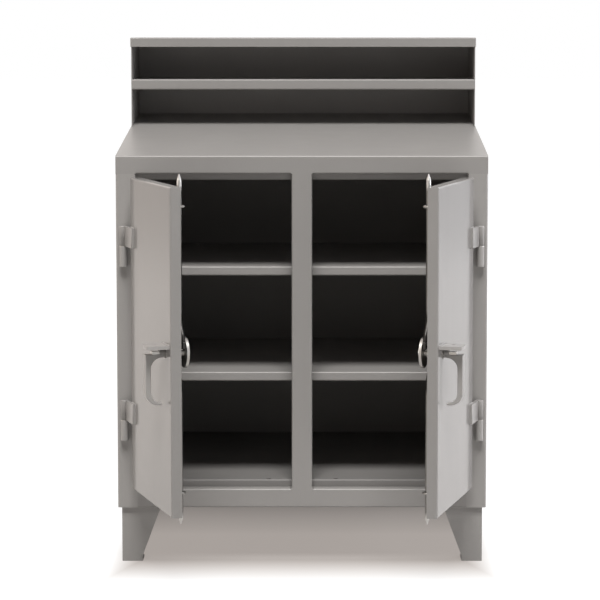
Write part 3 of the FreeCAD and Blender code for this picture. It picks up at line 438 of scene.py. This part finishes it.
def make_floor():
    """Plain floor far beyond the view."""
    mesh = bpy.data.meshes.new("floor")
    corners = [(x * FLOOR_REACH, y * FLOOR_REACH, 0) for x, y in ((-1, -1), (1, -1), (1, 1), (-1, 1))]
    mesh.from_pydata(corners, [], [(0, 1, 2, 3)])
    floor = bpy.data.objects.new("floor", mesh)
    bpy.context.scene.collection.objects.link(floor)
    mesh.materials.append(floor_material())


def make_lamp(name, place, aim, size, watts, colour, mirrored):
    """Soft box at a place, turned towards a point. It may be kept out of reflections."""
    data = bpy.data.lights.new(name, "AREA")
    data.shape = "RECTANGLE"
    data.size, data.size_y = size
    data.energy = watts
    data.color = colour
    lamp = bpy.data.objects.new(name, data)
    lamp.location = place
    lamp.visible_glossy = mirrored
    lamp.rotation_euler = (Vector(aim) - Vector(place)).to_track_quat("-Z", "Y").to_euler()
    bpy.context.scene.collection.objects.link(lamp)


def make_camera():
    """Camera with the photograph's view and framing."""
    data = bpy.data.cameras.new("camera")
    data.sensor_width = SENSOR
    data.lens = FOCAL_PIXELS / FRAME_PIXELS * SENSOR
    data.shift_x = 0.5 - PRINCIPAL_POINT[0] / FRAME_PIXELS
    data.shift_y = PRINCIPAL_POINT[1] / FRAME_PIXELS - 0.5
    data.clip_end = VIEW_REACH
    camera = bpy.data.objects.new("camera", data)
    camera.location = CAMERA_PLACE
    camera.rotation_euler = (math.radians(90.0 - CAMERA_PITCH), 0.0, 0.0)
    bpy.context.scene.collection.objects.link(camera)
    bpy.context.scene.camera = camera


# Places on the solids


def joint_of(name):
    """A joint's entry."""
    return [joint for joint in frame["joints"] if joint["name"] == name][0]


def swing(side):
    """Turn that takes a point of the shut door to where the door rests."""
    joint = joint_of(side + "_door_hinge")
    pivot = Matrix.Translation(joint["pos_m"])
    turn = Matrix.Rotation(math.radians(-joint["range_deg"][0]), 4, Vector(joint["axis"]))
    return pivot @ turn @ pivot.inverted()


def points_of(node, turn=Matrix()):
    """The points of a node, after a turn."""
    return [turn @ vertex.co for vertex in frame["nodes"][node].data.vertices]


def box_of(points):
    """Lowest and highest corner of some points."""
    low = Vector([min(point[axis] for point in points) for axis in range(3)])
    high = Vector([max(point[axis] for point in points) for axis in range(3)])
    return low, high


def upper_and_lower(points):
    """Boxes of two like solids, one above the other, that share a node."""
    ranked = sorted(points, key=lambda point: point.z)
    gaps = [above.z - below.z for below, above in zip(ranked, ranked[1:])]
    cut = gaps.index(max(gaps)) + 1
    return box_of(ranked[:cut]), box_of(ranked[cut:])


# Welds


def add_ring(form, middle, across, along, radius, sides):
    """A ring of points in the plane of two directions."""
    ring = []
    for i in range(sides):
        angle = 2 * math.pi * i / sides
        ring.append(form.verts.new(middle + radius * (math.cos(angle) * across + math.sin(angle) * along)))
    return ring


def join_rings(form, first, second):
    """Faces between two rings."""
    count = len(first)
    for i in range(count):
        form.faces.new((first[i], first[(i + 1) % count], second[(i + 1) % count], second[i]))


def across_directions(direction):
    """Two directions square to a direction and to each other."""
    other = Vector((0, 0, 1)) if abs(direction.z) < STEEP else Vector((1, 0, 0))
    across = direction.cross(other).normalized()
    return across, direction.cross(across)


def ripple(distance, radius):
    """Radius of a bead at a distance along it."""
    return radius * (RIPPLE_LOW + RIPPLE_RISE * abs(math.sin(math.pi * distance / WELD_RIPPLE)))


def add_bead(form, start, end, radius):
    """A straight weld bead with its ripples and rounded ends."""
    length = (end - start).length
    direction = (end - start) / length
    across, along = across_directions(direction)
    count = max(FEWEST_STEPS, round(length / WELD_STEP))
    rings = []
    for i in range(count + 1):
        distance = length * i / count
        near_end = min(distance, length - distance) / radius
        ending = math.sqrt(max(END_SQUARE, 1 - max(0.0, 1 - near_end) ** 2))
        wave = math.sin(2 * math.pi * distance / DRIFT_PITCH + DRIFT_PHASE * start.z)
        drift = DRIFT_SHARE * radius * wave
        middle = start + direction * distance + across * drift
        rings.append(add_ring(form, middle, across, along, ripple(distance, radius) * ending, WELD_SIDES))
    for first, second in zip(rings, rings[1:]):
        join_rings(form, first, second)
    form.faces.new(rings[0])
    form.faces.new(rings[-1])


def add_stitches(form, start, end, radius):
    """Short beads at an even pitch along a seam."""
    length = (end - start).length
    direction = (end - start) / length
    count = max(1, round((length - 2 * STITCH_END_GAP) / STITCH_PITCH))
    pitch = length / count
    for i in range(count):
        middle = start + direction * pitch * (i + 0.5)
        add_bead(form, middle - direction * STITCH / 2, middle + direction * STITCH / 2, radius)


def add_round_bead(form, middle, axis, reach, radius):
    """A weld bead round the foot of a bar."""
    across, along = across_directions(axis)
    rings = []
    for i in range(ROUND_STEPS):
        angle = 2 * math.pi * i / ROUND_STEPS
        outward = math.cos(angle) * across + math.sin(angle) * along
        size = ripple(reach * angle, radius)
        rings.append(add_ring(form, middle + reach * outward, outward, axis, size, WELD_SIDES))
    for first, second in zip(rings, rings[1:] + rings[:1]):
        join_rings(form, first, second)


def add_spot(form, middle, axis):
    """The dimple of a spot weld."""
    across, along = across_directions(axis)
    rings = []
    for share, height in SPOT_PROFILE:
        rings.append(add_ring(form, middle + axis * height, across, along, SPOT_RADIUS * share, SPOT_SIDES))
    for first, second in zip(rings, rings[1:]):
        join_rings(form, first, second)
    form.faces.new(rings[-1])


def finish_piece(name, form, body, material, turn=Matrix(), flats=False):
    """The form as a piece that rides on a body, smooth-shaded but for any flats that lie along its axes."""
    bmesh.ops.recalc_face_normals(form, faces=form.faces)
    for face in form.faces:
        face.smooth = not flats or max(abs(share) for share in face.normal) < FLAT_NORMAL
    bmesh.ops.transform(form, matrix=turn, verts=form.verts)
    mesh = bpy.data.meshes.new(name)
    form.to_mesh(mesh)
    form.free()
    mesh.materials.append(material)
    piece = bpy.data.objects.new(name, mesh)
    bpy.context.scene.collection.objects.link(piece)
    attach(piece, body)
    return piece


def weld_leaves(side, turn, shut, material):
    """Welds round the leaves of a door's hinges."""
    panel_low, panel_high = box_of(points_of(side + "_door_panel", shut))
    face = panel_low.y
    root = panel_low.x + DOOR_FOLD if side == "left" else panel_high.x - DOOR_FOLD
    form = bmesh.new()
    for low, high in upper_and_lower(points_of(side + "_hinge_leaves", shut)):
        tip = high.x if side == "left" else low.x
        add_bead(form, Vector((tip, face, low.z)), Vector((tip, face, high.z)), WELD_RADIUS)
        for level in (low.z, high.z):
            add_bead(form, Vector((root, face, level)), Vector((tip, face, level)), WELD_RADIUS)
    finish_piece(side + "_leaf_welds", form, side + "_door", material, turn)


def weld_hasp(side, turn, shut, material):
    """Welds along both edges of a hasp plate's foot."""
    face = box_of(points_of(side + "_door_panel", shut))[0].y
    low, high = box_of(points_of(side + "_hasp", shut))
    form = bmesh.new()
    for level in (low.z, high.z):
        add_bead(form, Vector((low.x, face, level)), Vector((high.x, face, level)), WELD_RADIUS)
    finish_piece(side + "_hasp_welds", form, side + "_door", material, turn)


def weld_guides(side, turn, shut, material):
    """Welds round both feet of each rod guide."""
    form = bmesh.new()
    for low, high in upper_and_lower(points_of(side + "_rod_guides", shut)):
        bar = (high.z - low.z) / 2
        for x in (low.x + bar, high.x - bar):
            foot = Vector((x, low.y, low.z + bar))
            add_round_bead(form, foot, Vector((0, 1, 0)), bar, SMALL_WELD_RADIUS)
    finish_piece(side + "_guide_welds", form, side + "_door", material, turn)


def weld_stiffener(side, turn, shut, material):
    """Spot welds down both flanges of a door's stiffener."""
    low, high = box_of(points_of(side + "_door_stiffener", shut))
    count = round((high.z - low.z) / SPOT_PITCH)
    form = bmesh.new()
    for x in (low.x + STIFFENER_FLANGE / 2, high.x - STIFFENER_FLANGE / 2):
        for i in range(count):
            level = low.z + (high.z - low.z) * (i + 0.5) / count
            add_spot(form, Vector((x, low.y + STIFFENER_SHEET, level)), Vector((0, 1, 0)))
    finish_piece(side + "_spot_welds", form, side + "_door", material, turn)


def weld_door(side, material):
    """Every weld on a door, made on the shut door and turned to where it rests."""
    turn = swing(side)
    for weld in (weld_leaves, weld_hasp, weld_guides, weld_stiffener):
        weld(side, turn, turn.inverted(), material)


def weld_knuckles(side, material):
    """Welds down both sides of the hinge knuckles' feet."""
    form = bmesh.new()
    for low, high in upper_and_lower(points_of(side + "_frame_knuckles")):
        middle = (low.x + high.x) / 2
        for x in (middle - KNUCKLE_FOOT_HALF, middle + KNUCKLE_FOOT_HALF):
            add_bead(form, Vector((x, high.y, low.z)), Vector((x, high.y, high.z)), WELD_RADIUS)
    finish_piece(side + "_knuckle_welds", form, "cabinet", material)


def weld_leg(end, side, material):
    """Welds in the inner corners of a leg: between its plates, on the foot and under the top plate."""
    low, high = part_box(end + "_" + side + "_leg")
    out_x, sign_x = (low.x, 1) if side == "left" else (high.x, -1)
    out_y, sign_y = (low.y, 1) if end == "front" else (high.y, -1)
    corner = Vector((out_x + sign_x * LEG_PLATE, out_y + sign_y * LEG_PLATE, FOOT_PLATE))
    top = high.z - LEG_TOP_PLATE
    top_reach = high.x - low.x - LEG_PLATE
    foot_reach = LEG_FOOT_WIDTH - LEG_PLATE
    form = bmesh.new()
    add_bead(form, corner, Vector((corner.x, corner.y, top)), WELD_RADIUS)
    for level, reach in ((FOOT_PLATE, foot_reach), (top, top_reach)):
        start = Vector((corner.x, corner.y, level))
        add_bead(form, start, start + Vector((sign_x * reach, 0, 0)), WELD_RADIUS)
        add_bead(form, start, start + Vector((0, sign_y * reach, 0)), WELD_RADIUS)
    finish_piece(end + "_" + side + "_leg_welds", form, "cabinet", material)


def weld_riser(material):
    """Stitch welds between the riser and the desk, outside its ends and its back."""
    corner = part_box("desk_top")[1]
    rise = math.tan(math.radians(DESK_SLOPE))

    def on_desk(x, y):
        return Vector((x, y, corner.z - (corner.y - y) * rise))

    form = bmesh.new()
    low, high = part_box("riser_left_side")
    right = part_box("riser_right_side")[1].x
    for x in (low.x, right):
        add_stitches(form, on_desk(x, low.y), on_desk(x, high.y), SMALL_WELD_RADIUS)
    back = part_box("riser_back")[1].y
    add_stitches(form, on_desk(low.x, back), on_desk(right, back), SMALL_WELD_RADIUS)
    finish_piece("riser_welds", form, "cabinet", material)


def weld_cleats(side, material):
    """Stitch welds under the shelf cleats."""
    form = bmesh.new()
    for low, high in upper_and_lower(points_of(side + "_shelf_cleats")):
        wall = low.x if side == "left" else high.x
        add_stitches(form, Vector((wall, low.y, low.z)), Vector((wall, high.y, low.z)), WELD_RADIUS)
    finish_piece(side + "_cleat_welds", form, "cabinet", material)


# Mullion


def channel_section(half, front, back):
    """Outline of a channel with its edges turned in, round its bends, as places across and along."""
    outer = [(MULLION_RETURN - half, back)]
    inner = [(MULLION_RETURN - half, back - BODY_SHEET)]
    deep = back - BEND_RADIUS
    near = front + BEND_RADIUS
    for side, middle, first in ((-1, deep, 90), (-1, near, 180), (1, near, 270), (1, deep, 0)):
        for i in range(BEND_STEPS + 1):
            angle = math.radians(first + 90 * i / BEND_STEPS)
            for line, radius in ((outer, BEND_RADIUS), (inner, BEND_RADIUS - BODY_SHEET)):
                x = side * (half - BEND_RADIUS) + radius * math.cos(angle)
                line.append((x, middle + radius * math.sin(angle)))
    outer.append((half - MULLION_RETURN, back))
    inner.append((half - MULLION_RETURN, back - BODY_SHEET))
    return outer + inner[::-1]


def add_flush_weld(form, half, front, level, away):
    """Weld that fills the bend of the header or rail at the mullion's end, ground flush."""
    ends = []
    for side in (-1, 1):
        places = (
            (side * (half + CORNER_FILLET), front, level + away * BEND_RADIUS),
            (side * half, front, level),
            (side * half, front + BEND_RADIUS, level),
        )
        ends.append([form.verts.new(place) for place in places])
        form.faces.new(ends[-1])
    join_rings(form, *ends)


def make_mullion(material):
    """Post between the doors, with a small fillet at its ends, ground flush with the header and the rail."""
    low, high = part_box("center_mullion")
    half = (high.x - low.x) / 2 - MULLION_BRIM
    section = channel_section(half, low.y, high.y - BODY_SHEET)
    turns = [math.radians(90 * i / FILLET_STEPS) for i in range(FILLET_STEPS, -1, -1)]
    ends = [(CORNER_FILLET * (1 - math.sin(turn)), CORNER_FILLET * (1 - math.cos(turn))) for turn in turns]
    levels = [(low.z + rise, flare) for rise, flare in ends]
    levels += [(high.z - rise, flare) for rise, flare in reversed(ends)]
    form = bmesh.new()
    rings = []
    for level, flare in levels:
        rings.append([form.verts.new((x + math.copysign(flare, x), y, level)) for x, y in section])
    for first, second in zip(rings, rings[1:]):
        join_rings(form, first, second)
    form.faces.new(rings[0])
    form.faces.new(rings[-1])
    flat_half = half - BEND_RADIUS + CORNER_FILLET
    add_flush_weld(form, flat_half, low.y, low.z, -1)
    add_flush_weld(form, flat_half, low.y, high.z, 1)
    post = finish_piece("mullion_post", form, "cabinet", material, flats=True)
    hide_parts("center_mullion")


# Door halves of the hinges


def add_barrel(form, axis, radius, low, high):
    """Round barrel with a bore for the pin, closed by a cap."""
    across, along = Vector((1, 0, 0)), Vector((0, 1, 0))
    profile = (
        (BARREL_BORE, high - BARREL_CAP),
        (BARREL_BORE, low),
        (radius, low),
        (radius, high - 2 * BARREL_CHAMFER),
        (radius, high - BARREL_CHAMFER),
        (radius - BARREL_CHAMFER, high),
    )
    rings = []
    for reach, level in profile:
        rings.append(add_ring(form, Vector((axis[0], axis[1], level)), across, along, reach, BARREL_SIDES))
    for first, second in zip(rings, rings[1:]):
        join_rings(form, first, second)
    form.faces.new(rings[0])
    form.faces.new(rings[-1])


def add_leaf(form, start, tip, face, low, high):
    """Thick flat leaf on the face of the shut door, with its outer corner broken."""
    front = face - LEAF_THICKNESS
    inward = math.copysign(LEAF_CHAMFER, start - tip)
    outline = ((start, face), (tip, face), (tip, front + LEAF_CHAMFER), (tip + inward, front), (start, front))
    rings = []
    for level in (low, high):
        rings.append([form.verts.new((x, y, level)) for x, y in outline])
        form.faces.new(rings[-1])
    join_rings(form, *rings)


def make_hinge_halves(side):
    """Barrel and leaf of both hinges of a door, with a crease where the two meet."""
    node = side + "_hinge_leaves"
    turn = swing(side)
    shut = turn.inverted()
    axis = joint_of(side + "_door_hinge")["pos_m"]
    face = box_of(points_of(side + "_door_panel", shut))[0].y
    form = bmesh.new()
    for low, high in upper_and_lower(points_of(node, shut)):
        outside, tip = (low.x, high.x) if side == "left" else (high.x, low.x)
        add_barrel(form, axis, abs(axis[0] - outside), low.z, high.z)
        start = axis[0] + math.copysign(LEAF_START, tip - axis[0])
        add_leaf(form, start, tip, face, low.z, high.z)
    material = frame["nodes"][node].data.materials[0]
    halves = finish_piece(side + "_hinge_halves", form, side + "_door", material, turn, flats=True)
    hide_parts(node)


# Looks of the solids


def dress_nodes(body):
    """Every solid takes its enamel or its plating; some of these are lighter or darker copies, painted light and
    painted shade.
    """
    plated = plated_material("zinc_plate", PLATE)
    bar = plated_material("drawn_shaded_bar", BAR, light_and_shade_on_rod=True)
    wire = plated_material("dull_shaded_wire", SHADED_WIRE)
    enamels = []
    for enamel, (share, roughness, sheen, endings) in ENAMELS.items():
        enamels.append((endings, paint_material(enamel, shade(PAINT, share), roughness, sheen)))
    slots = {part["node"]: part["material_slot"] for part in frame["record"]["subparts"]}
    for name, node in frame["nodes"].items():
        if name.endswith(BAR_NODES):
            material = bar
        elif name.endswith("_rod_guides"):
            material = wire
        elif slots[name] == "plated_steel":
            material = plated
        else:
            material = next((coat for endings, coat in enamels if name.endswith(endings)), body)
        node.data.materials.clear()
        node.data.materials.append(material)


def make_welds(material):
    """Every weld on the cabinet and its doors."""
    for side in SIDES:
        weld_door(side, material)
        weld_knuckles(side, material)
        weld_cleats(side, material)
        for end in ("front", "rear"):
            weld_leg(end, side, material)
    weld_riser(material)


make_camera()
make_world()
make_floor()
for lamp, settings in LAMPS.items():
    make_lamp(lamp, *settings)
enamel = paint_material("cabinet_enamel", PAINT, BODY_ROUGHNESS, BODY_SHEEN)
dress_nodes(enamel)
make_mullion(enamel)
for side in SIDES:
    make_hinge_halves(side)
make_welds(enamel)

bpy.context.scene.view_settings.view_transform = "Standard"
